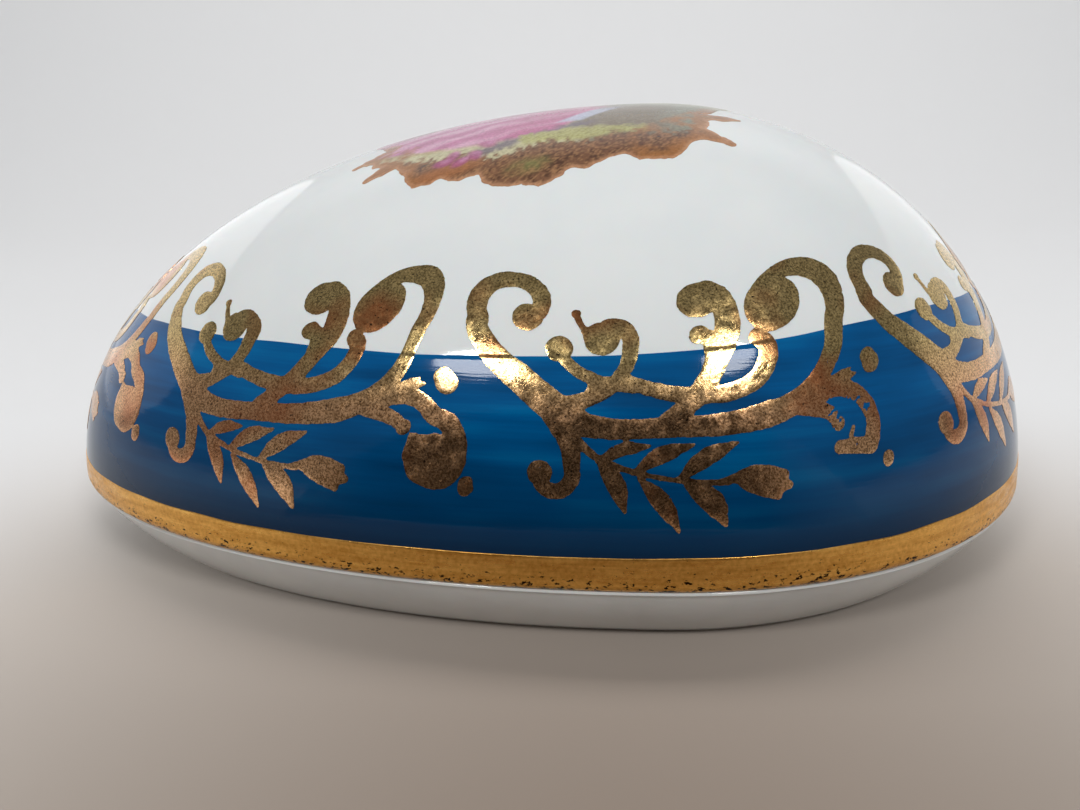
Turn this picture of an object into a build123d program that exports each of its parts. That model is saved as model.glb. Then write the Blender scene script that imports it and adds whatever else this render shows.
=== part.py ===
from build123d import *
from math import sqrt
import os

# Porcelain trinket box: an egg-shaped dish with a lift-off domed lid. The box lies along X,
# with its blunt end at +X and its pointed end at -X. The origin is on the surface that the box
# stands on, under the middle of its length and width, and +Z is up. All sizes are in mm.
# The lid is the upper half of a true egg, round about its long axis: two half-ellipses, one
# short and one long, meet where the egg is widest, in outline and in profile alike.

# The egg
LENGTH = 100.0           # pointed end to blunt end, along X
WIDTH = 73.0             # across the widest section, along Y
WIDEST_X = 11.5          # where the egg is widest, and where the dome is highest
BLUNT_LENGTH = LENGTH / 2 - WIDEST_X
POINTED_LENGTH = LENGTH / 2 + WIDEST_X
HALF_WIDTH = WIDTH / 2   # also the rise of the dome above the lid's rim

# Heights above the surface that the box stands on
SEAT_Z = 6.6             # the lid's rim rests on the dish here
GALLERY_TOP_Z = 10.0     # top of the dish's upstanding ring, which keeps the lid in place
WELL_FLOOR_Z = 2.9       # inside floor of the dish
FOOT_RECESS_Z = 0.9      # the underside inside the foot ring
GILT_TOP_Z = 9.4         # the gilt band runs from the rim up to here
BLUE_TOP_Z = 23.5        # the blue ground runs from the gilt band up to here

# Distances inwards from the egg outline
LAYER = 0.3              # thickness of the fired-on blue ground and gilding
SHELL_INSET = 0.4        # outer face of the lid's porcelain, 0.1 under those layers
LID_WALL_INSET = 3.4     # inner face of the lid
SEAT_INSET = 0.6         # outer edge of the dish's seat
BELLY_INSET = 2.8        # the dish's flared side at half its height
FOOT_INSET = 6.2         # outer edge of the foot ring
FOOT_INNER_INSET = 8.8   # inner edge of the foot ring
GALLERY_INSET = 4.1      # outer face of the upstanding ring
WELL_TOP_INSET = 6.3     # inner face of the upstanding ring
WELL_FLOOR_INSET = 7.4   # edge of the inside floor

# Rounded edges
RIM_ROUND = 0.8          # inner edge of the lid's rim
GALLERY_ROUND = 0.7      # top edges of the upstanding ring
WELL_ROUND = 2.0         # between the inside floor and the well's side
FOOT_ROUND = 0.5         # edges of the foot ring

BLUE_SECTIONS = 7        # level sections that shape the blue ground
GILT_SECTIONS = 3


def egg_face(inset, z=0.0, reduction=1.0):
    """The egg outline moved inwards by inset and then reduced about its widest point, at height z."""
    half_width = reduction * (HALF_WIDTH - inset)
    blunt = EllipticalCenterArc((WIDEST_X, 0), reduction * (BLUNT_LENGTH - inset), half_width,
                                start_angle=-90, arc_size=180)
    pointed = EllipticalCenterArc((WIDEST_X, 0), reduction * (POINTED_LENGTH - inset), half_width,
                                  start_angle=90, arc_size=180)
    return Pos(0, 0, z) * make_face([blunt, pointed])


def level_section(inset, z):
    """A level section of the dome, moved inwards by inset, at height z."""
    rise = (z - SEAT_Z) / (HALF_WIDTH - inset)
    return egg_face(inset, z, sqrt(1 - rise**2))


def dome_slice(inset, bottom_z, top_z, sections):
    """A solid level slice of the dome between two heights."""
    step = (top_z - bottom_z) / (sections - 1)
    return loft([level_section(inset, bottom_z + i * step) for i in range(sections)])


def dome_layer(bottom_z, top_z, sections):
    """A thin layer round the dome between two heights."""
    return dome_slice(0, bottom_z, top_z, sections) - dome_slice(LAYER, bottom_z, top_z, sections)


def edges_at(solid, z):
    """The edges of a solid that lie level at height z."""
    return solid.edges().filter_by_position(Axis.Z, z - 0.01, z + 0.01)


def is_within(point, inset):
    """Whether a point lies within the egg outline moved inwards by inset."""
    length = BLUNT_LENGTH if point.X > WIDEST_X else POINTED_LENGTH
    along = (point.X - WIDEST_X) / (length - inset)
    across = point.Y / (HALF_WIDTH - inset)
    return along**2 + across**2 < 1


def lid_shell():
    """The hollow porcelain dome: an egg profile turned half a turn about the egg's long axis."""
    profile = egg_face(SHELL_INSET) - egg_face(LID_WALL_INSET)
    upper_half = profile & Pos(0, LENGTH / 2) * Rectangle(2 * LENGTH, LENGTH)
    shell = Pos(0, 0, SEAT_Z) * revolve(upper_half, axis=Axis.X, revolution_arc=180)
    mid_wall = (SHELL_INSET + LID_WALL_INSET) / 2
    return fillet([edge for edge in edges_at(shell, SEAT_Z) if is_within(edge @ 0.5, mid_wall)], RIM_ROUND)


def base_dish():
    """The shallow dish: foot ring, flared side, flat seat, upstanding ring and well."""
    side = loft([
        egg_face(FOOT_INSET, 0),
        egg_face(BELLY_INSET, SEAT_Z / 2),
        egg_face(SEAT_INSET, SEAT_Z),
    ])
    gallery = extrude(egg_face(GALLERY_INSET, SEAT_Z / 2), GALLERY_TOP_Z - SEAT_Z / 2)
    well = loft([egg_face(WELL_FLOOR_INSET, WELL_FLOOR_Z), egg_face(WELL_TOP_INSET, GALLERY_TOP_Z)], ruled=True)
    recess = extrude(egg_face(FOOT_INNER_INSET), FOOT_RECESS_Z)
    dish = side + gallery - well - recess
    dish = fillet(edges_at(dish, WELL_FLOOR_Z), WELL_ROUND)
    dish = fillet(edges_at(dish, GALLERY_TOP_Z), GALLERY_ROUND)
    return fillet(edges_at(dish, 0), FOOT_ROUND)


NODES = {
    "lid_shell": lid_shell,
    "lid_gilt_band": lambda: dome_layer(SEAT_Z, GILT_TOP_Z, GILT_SECTIONS),
    "lid_blue_ground": lambda: dome_layer(GILT_TOP_Z, BLUE_TOP_Z, BLUE_SECTIONS),
    "base_dish": base_dish,
}

os.makedirs("parts", exist_ok=True)
for name, make in NODES.items():
    export_step(make(), f"parts/{name}.step")
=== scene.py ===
"""Egg-shaped porcelain trinket box: a blue and white lid with fired gold scrolls, on a low white dish.

Both porcelain parts are cut from one egg of revolution, whose long axis is X. Shapes are worked out in
millimetres as whole numpy arrays and put into the meshes in metres, where the CAD frame says.
"""
import logging
from dataclasses import dataclass, field
from enum import Enum
from functools import lru_cache

import bpy
import numpy as np
from mathutils import Matrix, Vector


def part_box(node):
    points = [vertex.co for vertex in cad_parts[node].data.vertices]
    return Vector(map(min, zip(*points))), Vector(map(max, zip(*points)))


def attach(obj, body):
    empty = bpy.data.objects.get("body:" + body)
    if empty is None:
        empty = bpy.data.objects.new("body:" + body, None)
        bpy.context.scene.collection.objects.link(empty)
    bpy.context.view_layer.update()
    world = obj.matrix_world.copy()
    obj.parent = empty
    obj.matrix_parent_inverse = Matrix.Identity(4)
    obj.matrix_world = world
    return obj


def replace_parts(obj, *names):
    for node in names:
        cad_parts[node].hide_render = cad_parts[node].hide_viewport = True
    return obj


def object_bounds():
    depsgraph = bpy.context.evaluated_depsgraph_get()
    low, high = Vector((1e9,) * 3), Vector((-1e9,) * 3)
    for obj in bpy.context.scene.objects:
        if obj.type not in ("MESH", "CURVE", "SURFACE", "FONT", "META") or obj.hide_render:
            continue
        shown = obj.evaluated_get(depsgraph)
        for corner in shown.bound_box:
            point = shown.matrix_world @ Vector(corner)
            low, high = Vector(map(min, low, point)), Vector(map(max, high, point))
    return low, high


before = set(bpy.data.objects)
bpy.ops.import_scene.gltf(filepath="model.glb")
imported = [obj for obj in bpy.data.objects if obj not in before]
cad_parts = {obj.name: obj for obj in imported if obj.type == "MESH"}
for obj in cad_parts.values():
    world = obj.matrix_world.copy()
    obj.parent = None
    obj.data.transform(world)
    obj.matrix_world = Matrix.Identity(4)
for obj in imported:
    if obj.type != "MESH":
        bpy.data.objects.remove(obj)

LOG = logging.getLogger("trinket_box")
CAD_LOW, CAD_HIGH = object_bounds()
MM = 0.001
COLUMNS = 384  # columns round the rim for the bodies, under 0.8 mm each
BLUE_LIFT = 0.045  # how far the blue ground stands over the glaze, in mm
NOISE_LATTICE = 256  # cells of the soft noise before it repeats
DISC_REACH = 1.2  # how far past its widest disc a stroke's distance field is worked out, in mm
Array = np.ndarray


# ---------------------------------------------------------------- the egg


@dataclass(frozen=True)
class Egg:
    """The egg of revolution: two half ellipsoids that meet at the widest section, eased into one curve."""

    widest_x: float = 11.5
    blunt: float = 38.5
    pointed: float = 61.5
    half_width: float = 36.5
    seat_z: float = 6.6
    easing: float = 0.12

    def along(self, c: Array) -> Array:
        """Distance along X from the widest section for c from -1, the pointed end, to 1, the blunt end.

        Args:
            c: cosine-like position along the long axis.

        Returns:
            c times a half length that turns smoothly from the pointed one to the blunt one.
        """
        middle, half = (self.blunt + self.pointed) / 2, (self.blunt - self.pointed) / 2
        return c * (middle + half * np.tanh(c / self.easing))

    def position(self, t: Array, phi: Array, inset: Array = 0.0) -> Array:
        """A point of the egg: c = cos t cos phi, X = along(c), Y = B sin t cos phi, Z = B sin phi.

        Args:
            t: angle round the rim, 0 at the blunt end.
            phi: height angle over the seat, 0 at the rim.
            inset: how far inside the outer egg.

        Returns:
            Points in millimetres, one row of three for each element.
        """
        c = np.cos(t) * np.cos(phi)
        radius = self.half_width - inset
        x = self.widest_x + self.along(c) - inset * c
        y = radius * np.sin(t) * np.cos(phi)
        z = self.seat_z + radius * np.sin(phi) + 0 * t
        return np.stack(np.broadcast_arrays(x, y, z), axis=-1)

    def rim_table(self) -> tuple[Array, Array]:
        """Angles round the rim, and the arc length to each from the front widest point."""
        t = np.linspace(-np.pi / 2, 1.5 * np.pi, 4001)
        p = self.position(t, np.zeros_like(t))
        steps = np.linalg.norm(np.diff(p, axis=0), axis=1)
        return t, np.concatenate([[0.0], np.cumsum(steps)])

    def perimeter(self) -> float:
        """Arc length once round the rim."""
        return float(self.rim_table()[1][-1])

    def rim_angle(self, s: Array) -> Array:
        """Angle round the rim at arc length s from the front widest point."""
        t, length = self.rim_table()
        return np.interp(np.mod(s, length[-1]), length, t)

    def meridian_drift(self, s: Array, phi: Array) -> Array:
        """How far a meridian drifts along the level lines, against a line square to them, up to phi.

        With half lengths A and B, it is (1 - cos phi) (A squared - B squared) sin t cos t / q, where
        q squared = (A sin t) squared + (B cos t) squared.

        Args:
            s: arc length round the rim.
            phi: height angle over the seat.

        Returns:
            The drift in millimetres, towards growing s.
        """
        t = self.rim_angle(s)
        c, s_t = np.cos(t), np.sin(t)
        middle, half = (self.blunt + self.pointed) / 2, (self.blunt - self.pointed) / 2
        a = middle + half * np.tanh(c / (3 * self.easing))
        q = np.hypot(a * s_t, self.half_width * c)
        return (1 - np.cos(phi)) * (a**2 - self.half_width**2) * s_t * c / q

    def top_height(self, x: Array, y: Array, inset: float) -> Array:
        """Z of the dome over the plan point (x, y): B squared (1 - c squared) = y squared + z squared."""
        c = np.linspace(-1, 1, 2001)
        at = np.interp(x - self.widest_x, self.along(c) - inset * c, c)
        radius = self.half_width - inset
        return self.seat_z + np.sqrt(np.maximum(radius**2 * (1 - at**2) - y**2, 0.01))


EGG = Egg(half_width=(CAD_HIGH[1] - CAD_LOW[1]) / 2 / MM)


@dataclass(frozen=True)
class LidSurface:
    """The outside of the lid: the egg from the pole down to a small rounding that ends at the seat."""

    egg: Egg = EGG
    inset: float = 0.25
    round_radius: float = 0.8

    def at(self, s: Array, y: Array, lift: Array = 0.0) -> Array:
        """A point s mm round the rim and y mm up the meridian, lifted off the porcelain.

        Above the rounding it is the egg at phi = y / B. Below, the wall turns in by an arc of radius r, so
        a level section there is inset by r - (r + lift) cos a.

        Args:
            s: arc length round the rim.
            y: arc length up the meridian, below the rounding's top it runs round the arc.
            lift: height over the glaze.

        Returns:
            Points in millimetres.
        """
        s, y, lift = np.broadcast_arrays(*(np.asarray(v, float) for v in (s, y, lift)))
        t, r = self.egg.rim_angle(s), self.round_radius
        dome = self.egg.position(t, np.maximum(y, r) / self.egg.half_width, self.inset - lift)
        a = np.clip((r - y) / r, 0, np.pi / 2)
        low = self.egg.position(t, 0 * t, self.inset + r - (r + lift) * np.cos(a))
        low[..., 2] = self.egg.seat_z + r - (r + lift) * np.sin(a)
        return np.where((y < r)[..., None], low, dome)

    def gilt_top(self, s: Array) -> Array:
        """Height up the meridian of the gilt rim band's hand-laid upper edge."""
        knots = ((-137, 2.9), (-60, 2.75), (-10, 2.8), (20, 3.0), (45, 3.4), (80, 3.1))
        return closed_curve(knots, s, self.egg.perimeter(), 9.0) + brush_waver(s, 0.03, 11)

    def blue_top(self, s: Array) -> Array:
        """Height up the meridian of the blue ground's hand-laid upper edge."""
        knots = (
            (-137, 18.2), (-100, 17.6), (-63, 18.2), (-38, 18.0), (-19, 17.7), (-8, 17.9), (0, 18.2),
            (7, 18.7), (16, 19.7), (28, 20.3), (40, 20.2), (63, 19.5), (96, 18.4),
        )  # fmt: skip
        return closed_curve(knots, s, self.egg.perimeter(), 2.5) + brush_waver(s, 0.03, 12)

    def ground_lift(self, s: Array, y: Array) -> Array:
        """How far the blue stands over the glaze: its full lift below its upper edge, else none."""
        return BLUE_LIFT * np.clip((self.blue_top(s) - y) / 0.12 + 0.5, 0, 1)


def closed_curve(knots: tuple[tuple[float, float], ...], s: Array, length: float, soft: float) -> Array:
    """Straight runs between knots round a closed line, softened by a Gaussian.

    Args:
        knots: (arc length, value) pairs.
        s: where to read the curve.
        length: the closed line's length.
        soft: the Gaussian's spread in millimetres.

    Returns:
        The curve's value at each s.
    """
    grid = np.arange(2048) * length / 2048
    runs = np.interp(grid, *np.array(sorted((a % length, b) for a, b in knots)).T, period=length)
    waves = np.fft.rfftfreq(2048, length / 2048)
    smooth = np.fft.irfft(np.fft.rfft(runs) * np.exp(-2 * (np.pi * waves * soft) ** 2), 2048)
    return np.interp(np.mod(s, length), grid, smooth, period=length)


def brush_waver(s: Array, size: float, seed: int) -> Array:
    """A slight waver of a hand-laid edge: a few whole-number sine waves round the rim, size mm high."""
    rng = np.random.default_rng(seed)
    turns = rng.integers(6, 48, 7)
    phase = rng.uniform(0, 2 * np.pi, 7)
    angle = np.asarray(s)[..., None] * (2 * np.pi / EGG.perimeter())
    return size * np.sin(angle * turns + phase).sum(-1) / 2.6


LID = LidSurface()


# ---------------------------------------------------------------- meshes


def arc(inset: float, z: float, radius: float, start: float, end: float, steps: int = 7) -> Array:
    """Rows (inset, shrink, z) along an arc: its centre plus radius (cos a, sin a), a in degrees."""
    a = np.radians(np.linspace(start, end, steps))
    return np.stack([inset + radius * np.cos(a), np.ones_like(a), z + radius * np.sin(a)], axis=-1)


def grid_quads(rows: int, columns: int, closed_rows: bool = False) -> Array:
    """Quads of a grid whose columns close into rings, and whose rows close too where asked.

    Args:
        rows: rings.
        columns: points on each ring.
        closed_rows: whether the last ring joins the first.

    Returns:
        Four vertex numbers for each quad.
    """
    i = np.arange(rows if closed_rows else rows - 1)[:, None]
    j = np.arange(columns)[None, :]
    up, right = (i + 1) % rows, (j + 1) % columns
    corners = (i * columns + j, i * columns + right, up * columns + right, up * columns + j)
    return np.stack(corners, axis=-1).reshape(-1, 4)


def mesh_object(name: str, points: Array, faces: list[Array], crease: float = 35.0) -> bpy.types.Object:
    """Puts points and faces into a new smooth-shaded mesh object at the origin.

    Args:
        name: the piece's name.
        points: vertices in millimetres.
        faces: arrays of vertex numbers, one array for each number of corners.
        crease: edges that turn more than this many degrees are shaded sharp.

    Returns:
        The object, linked to the scene.
    """
    mesh = bpy.data.meshes.new(name)
    mesh.vertices.add(len(points))
    mesh.vertices.foreach_set("co", (points * MM).astype(np.float32).ravel())
    corners = np.concatenate([f.ravel() for f in faces]).astype(np.int32)
    sizes = np.concatenate([np.full(len(f), f.shape[1]) for f in faces])
    mesh.loops.add(len(corners))
    mesh.loops.foreach_set("vertex_index", corners)
    mesh.polygons.add(len(sizes))
    mesh.polygons.foreach_set("loop_start", (np.cumsum(sizes) - sizes).astype(np.int32))
    mesh.update(calc_edges=True)
    mesh.validate()
    mesh.shade_smooth()
    mesh.set_sharp_from_angle(angle=np.radians(crease))
    piece = bpy.data.objects.new(name, mesh)
    bpy.context.scene.collection.objects.link(piece)
    return piece


def carried_body(name: str, outline: Array) -> bpy.types.Object:
    """A closed body: a profile of rows (inset, shrink, z) carried round the egg's level sections.

    A row's ring is X = widest + (along(cos t) - inset cos t) shrink and Y = (B - inset) sin t shrink.
    The first and last rows are poles, each one point closed by a fan.

    Args:
        name: the piece's name.
        outline: rows from one pole to the other.

    Returns:
        The object.
    """
    t = EGG.rim_angle(np.arange(COLUMNS) * EGG.perimeter() / COLUMNS)
    inset, shrink, z = (outline[1:-1, i, None] for i in range(3))
    ring = EGG.position(t[None, :], np.zeros((len(z), 1)), inset)
    ring[..., 0] = EGG.widest_x + (ring[..., 0] - EGG.widest_x) * shrink
    ring[..., 1] *= shrink
    ring[..., 2] = z
    return poled_body(name, ring, outline[0, 2], outline[-1, 2])


def poled_body(name: str, rings: Array, first_z: float, last_z: float) -> bpy.types.Object:
    """Closes stacked rings at both ends with a fan to one point over the widest section.

    Args:
        name: the piece's name.
        rings: points, rings by columns by three.
        first_z: height of the first pole.
        last_z: height of the last pole.

    Returns:
        The object.
    """
    rows, columns = rings.shape[:2]
    poles = np.array([[EGG.widest_x, 0, first_z], [EGG.widest_x, 0, last_z]])
    points = np.concatenate([rings.reshape(-1, 3), poles])
    j = np.arange(columns)
    k = (j + 1) % columns
    last = (rows - 1) * columns
    first_fan = np.stack([k, j, np.full(columns, rows * columns)], axis=-1)
    last_fan = np.stack([last + j, last + k, np.full(columns, rows * columns + 1)], axis=-1)
    return mesh_object(name, points, [grid_quads(rows, columns), first_fan, last_fan])


def rim_skin(name: str, low: Array, high: Array, over: Array, under: float, rows: int) -> bpy.types.Object:
    """A thin closed layer round the lid between two heights up the meridian.

    Its outer face stands proud by over and rolls down at both edges by a quarter circle; its inner face
    lies under the glaze by under.

    Args:
        name: the piece's name.
        low: lower edge for each column.
        high: upper edge for each column.
        over: height of the outer face over the glaze.
        under: depth of the inner face.
        rows: rows up the outer face.

    Returns:
        The object.
    """
    columns = len(low)
    s = np.arange(columns) * EGG.perimeter() / columns
    share = np.linspace(0, 1, rows)[:, None]
    face = low + (high - low) * share
    turn = np.linspace(0, np.pi / 2, 5)[1:, None]
    roll = over + under
    top = high + 0.6 * roll * np.sin(turn)
    bottom = low - 0.6 * roll * np.sin(turn)
    back = high + (low - high) * np.linspace(0, 1, rows)[1:-1, None]
    heights = np.concatenate([face, top, back, bottom[::-1]])
    rolled = -under + roll * np.cos(turn) + 0 * top
    lifts = np.concatenate([face * 0 + over, rolled, back * 0 - under, rolled[::-1]])
    points = LID.at(s[None, :], heights, lifts)
    return mesh_object(name, points.reshape(-1, 3), [grid_quads(len(heights), columns, True)], 50.0)


@dataclass
class Film:
    """The filled inside of a field's zero line: flat vertices, how deep each one lies, and triangles."""

    xy: Array
    depth: Array
    triangles: Array


def contour_fill(x: Array, y: Array, distance: Array) -> Film:
    """Fills where a distance field is negative, by cutting each grid triangle along the field's zero line.

    A triangle with all corners inside stays. With one inside it keeps the corner that the line cuts off,
    and with two inside it keeps the four-sided rest as two triangles. A cut lies where the field, taken as
    straight along the edge, is nought.

    Args:
        x: grid of x, rows by columns.
        y: grid of y.
        distance: signed distance, negative inside.

    Returns:
        The film's flat vertices, their depth inside the line and its triangles, turning to the left.
    """
    rows, columns = x.shape
    flat = distance.ravel()
    i, j = np.meshgrid(np.arange(rows - 1), np.arange(columns - 1), indexing="ij")
    a = (i * columns + j).ravel()
    corners = np.concatenate(
        [np.stack([a, a + 1, a + columns + 1], -1), np.stack([a, a + columns + 1, a + columns], -1)]
    )
    inside = flat[corners] < 0
    count = inside.sum(1)
    whole = corners[count == 3]

    def turned(triangles: Array, first: Array) -> Array:
        """Triangles with their corners turned round so that the given corner comes first."""
        return np.take_along_axis(triangles, (first[:, None] + np.arange(3)) % 3, axis=1)

    one = turned(corners[count == 1], inside[count == 1].argmax(1))
    two = turned(corners[count == 2], (~inside[count == 2]).argmax(1))
    ends = np.concatenate([one[:, [0, 1]], one[:, [0, 2]], two[:, [0, 1]], two[:, [0, 2]]])
    ends = np.sort(ends, axis=1)
    keys, place = np.unique(ends[:, 0] * flat.size + ends[:, 1], return_inverse=True)
    place = place.ravel() + flat.size
    p, q = keys // flat.size, keys % flat.size
    part = np.clip(flat[p] / (flat[p] - flat[q]), 0.08, 0.92)[:, None]
    grid = np.stack([x.ravel(), y.ravel()], -1)
    cuts = grid[p] * (1 - part) + grid[q] * part
    n, m = len(one), len(two)
    e1, e2, e3, e4 = place[:n], place[n : 2 * n], place[2 * n : 2 * n + m], place[2 * n + m :]
    triangles = np.concatenate(
        [
            whole,
            np.stack([one[:, 0], e1, e2], -1),
            np.stack([e3, two[:, 1], two[:, 2]], -1),
            np.stack([e3, two[:, 2], e4], -1),
        ]
    )
    used, place = np.unique(triangles, return_inverse=True)
    xy = np.concatenate([grid, cuts])[used]
    depth = np.concatenate([np.maximum(-flat, 0), np.zeros(len(cuts))])[used]
    return Film(xy, depth, place.reshape(-1, 3))


def film_object(name: str, film: Film, top: Array, bottom: Array) -> bpy.types.Object:
    """Closes a film between a top and a bottom surface, with a wall along its edge.

    Args:
        name: the piece's name.
        film: the flat film.
        top: the top surface's points, one for each film vertex.
        bottom: the bottom surface's points.

    Returns:
        The object.
    """
    t = film.triangles
    edges = np.concatenate([t[:, [0, 1]], t[:, [1, 2]], t[:, [2, 0]]])
    n = len(top)
    forward, backward = edges[:, 0] * n + edges[:, 1], edges[:, 1] * n + edges[:, 0]
    rim = edges[~np.isin(forward, backward)]
    wall = np.stack([rim[:, 1], rim[:, 0], rim[:, 0] + n, rim[:, 1] + n], axis=-1)
    faces = [np.concatenate([t, t[:, ::-1] + n]), wall]
    return mesh_object(name, np.concatenate([top, bottom]), faces, 60.0)


def soft_noise(x: Array, y: Array, size: float, seed: int) -> Array:
    """Smooth seeded noise from about -1 to 1: random values on a lattice size mm apart, eased between."""
    lattice = np.random.default_rng(seed).uniform(-1, 1, (NOISE_LATTICE + 2,) * 2)
    u, v = np.mod(x / size, NOISE_LATTICE), np.mod(y / size, NOISE_LATTICE)
    i, j = np.floor(u).astype(int), np.floor(v).astype(int)
    a, b = (f * f * (3 - 2 * f) for f in (u - i, v - j))
    lower = lattice[i, j] * (1 - a) + lattice[i + 1, j] * a
    upper = lattice[i, j + 1] * (1 - a) + lattice[i + 1, j + 1] * a
    return lower * (1 - b) + upper * b


# ---------------------------------------------------------------- brush strokes


def rounded_path(points: Array, step: float = 0.08) -> Array:
    """A Catmull-Rom curve through the points, read about every step mm."""
    p = np.concatenate([2 * points[:1] - points[1:2], points, 2 * points[-1:] - points[-2:-1]])
    longest = np.linalg.norm(np.diff(points, axis=0), axis=1).max()
    u = np.linspace(0, 1, max(3, int(longest / step)), endpoint=False)[None, :, None]
    a, b, c, d = (p[i : len(p) - 3 + i, None, :] for i in range(4))
    square, cube = 2 * a - 5 * b + 4 * c - d, 3 * b - a - 3 * c + d
    curve = 0.5 * (2 * b + (c - a) * u + square * u**2 + cube * u**3)
    return np.concatenate([curve.reshape(-1, 2), points[-1:]])


@dataclass(frozen=True)
class Curl:
    """A spiral that ends a stroke: the angle runs on evenly while the radius shrinks by a power."""

    centre: tuple[float, float]
    radius: tuple[float, float]
    start: float
    turn: float
    power: float = 2.0

    def points(self) -> Array:
        """Points of the spiral, one for each 15 degrees or so."""
        u = np.linspace(0, 1, max(4, int(abs(self.turn) / 15)))
        angle = np.radians(self.start + self.turn * u)
        r = self.radius[0] + (self.radius[1] - self.radius[0]) * u**self.power
        return np.array(self.centre) + r[:, None] * np.stack([np.cos(angle), np.sin(angle)], -1)


@dataclass(frozen=True)
class Stroke:
    """One stroke of gold: a rounded path, widths spread evenly along it, and an end bead."""

    points: tuple[tuple[float, float], ...]
    widths: tuple[float, ...]
    curl: Curl | None = None
    bead: float = 0.0
    bead_at: tuple[float, float] | None = None

    def discs(self) -> Array:
        """The stroke as touching discs, rows of x, y and radius."""
        line = np.array(self.points, float)
        if self.curl:
            line = np.concatenate([line, self.curl.points()])
        path = rounded_path(line) if len(line) > 1 else line
        run = np.concatenate([[0], np.cumsum(np.linalg.norm(np.diff(path, axis=0), axis=1))])
        share = run / max(run[-1], 1e-6)
        radius = np.interp(share, np.linspace(0, 1, len(self.widths)), self.widths) / 2
        discs = np.column_stack([path, radius])
        if self.bead:
            discs = np.concatenate([discs, [[*(self.bead_at or path[-1]), self.bead]]])
        return discs

    def distance(self, x: Array, y: Array) -> Array:
        """Signed distance to the stroke's edge: the least over its discs of |p - centre| - radius."""
        discs = self.discs().astype(np.float32)
        near = discs[:, 2].max() + DISC_REACH
        box = (x > discs[:, 0].min() - near) & (x < discs[:, 0].max() + near)
        box &= (y > discs[:, 1].min() - near) & (y < discs[:, 1].max() + near)
        px, py = x[box].astype(np.float32)[:, None], y[box].astype(np.float32)[:, None]
        best = np.full(len(px), 9.0, np.float32)
        for part in np.array_split(discs, max(1, len(discs) // 48)):
            reach = np.sqrt((px - part[:, 0]) ** 2 + (py - part[:, 1]) ** 2) - part[:, 2]
            best = np.minimum(best, reach.min(1))
        field = np.full(x.shape, 1.0)
        field[box] = np.minimum(best, 1.0)
        return field


def leaf(base: tuple[float, float], tip: tuple[float, float], width: float, bend: float = 0.3) -> Stroke:
    """A pointed leaf from base to tip, widest past its middle, bowed to its left by bend mm."""
    a, b = np.array(base), np.array(tip)
    side = np.array([a[1] - b[1], b[0] - a[0]]) / np.linalg.norm(b - a)
    middle = (a + b) / 2 + bend * side
    swell = (0.2, 0.55, 0.9, 1.0, 0.85, 0.5, 0.16)
    return Stroke((base, tuple(middle), tip), tuple(width * w for w in swell))


def union(fields: list[Array], fillet: float = 0.22) -> Array:
    """Joins distance fields with a small fillet where two edges meet: polynomial smooth minimum."""
    total = fields[0]
    for other in fields[1:]:
        h = np.clip(0.5 + 0.5 * (other - total) / fillet, 0, 1)
        total = other * (1 - h) + total * h - fillet * h * (1 - h)
    return total


class MotifEnd(Enum):
    """How a scroll's right-hand end is finished."""

    CURL = "curl"  # rolls under into a comma-shaped drop
    CUT = "cut"  # ends square, where the gold was cut off at the join of the border


@dataclass(frozen=True)
class Placing:
    """Where one length of the border sits on the lid, and how it was laid.

    The drawing's origin is foot mm round the rim, and it is shifted up the meridian by rise. It leans to the
    right by lean for each mm over its waist, and its top is drawn in by about gather mm.
    """

    foot: float
    rise: float = 0.0
    lean: float = 0.0
    gather: float = 0.0
    end: MotifEnd = MotifEnd.CURL


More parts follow.
